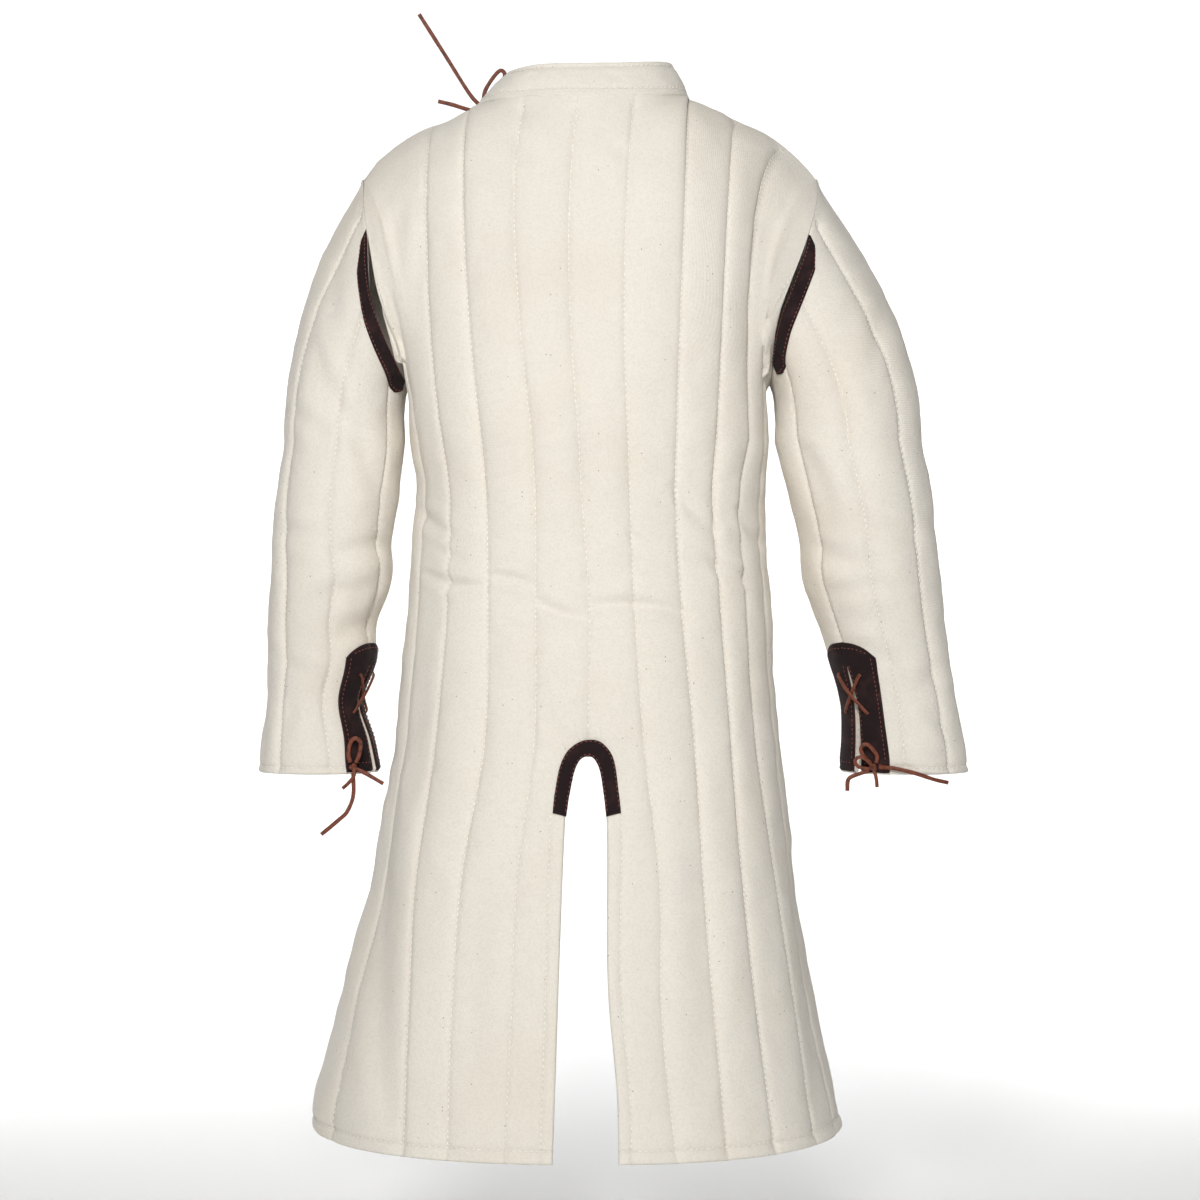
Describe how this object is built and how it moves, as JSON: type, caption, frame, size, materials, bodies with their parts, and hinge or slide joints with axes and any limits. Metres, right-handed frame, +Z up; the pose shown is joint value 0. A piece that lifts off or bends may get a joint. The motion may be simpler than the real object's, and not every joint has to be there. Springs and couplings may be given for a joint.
{
  "type": "gambeson",
  "caption": "Quilted knee-length canvas gambeson with standing collar, long sleeves, back vent, leather facings and thong ties, in its worn shape",
  "frame": {"origin": "base of the neck, on the centre line, where the wearer's shoulders hold the garment up", "axes": "+Z up, +Y the wearer's back, +X the wearer's left"},
  "size_m": [0.7507, 0.406, 1.168],
  "materials": {
    "canvas": "natural cream cotton canvas, quilted",
    "suede": "dark brown suede",
    "thong": "reddish brown leather"
  },
  "bodies": {
    "root": {"armpit_facing_left": "suede", "armpit_facing_right": "suede", "back": "canvas", "collar": "canvas", "collar_knot": "thong", "collar_long_tail": "thong", "collar_loop": "thong", "collar_short_tail": "thong", "cuff_facing_left": "suede", "cuff_facing_right": "suede", "cuff_left_cross_1": "thong", "cuff_left_cross_2": "thong", "cuff_left_knot": "thong", "cuff_left_long_tail": "thong", "cuff_left_loop": "thong", "cuff_left_short_tail": "thong", "cuff_right_cross_1": "thong", "cuff_right_cross_2": "thong", "cuff_right_knot": "thong", "cuff_right_long_tail": "thong", "cuff_right_loop": "thong", "cuff_right_short_tail": "thong", "front_left": "canvas", "front_right": "canvas", "front_tie_1_knot": "thong", "front_tie_1_left_tail": "thong", "front_tie_1_right_tail": "thong", "front_tie_2_knot": "thong", "front_tie_2_left_tail": "thong", "front_tie_2_right_tail": "thong", "front_tie_3_knot": "thong", "front_tie_3_left_tail": "thong", "front_tie_3_right_tail": "thong", "sleeve_left_inner": "canvas", "sleeve_left_outer": "canvas", "sleeve_right_inner": "canvas", "sleeve_right_outer": "canvas", "vent_facing": "suede"}
  },
  "joints": []
}
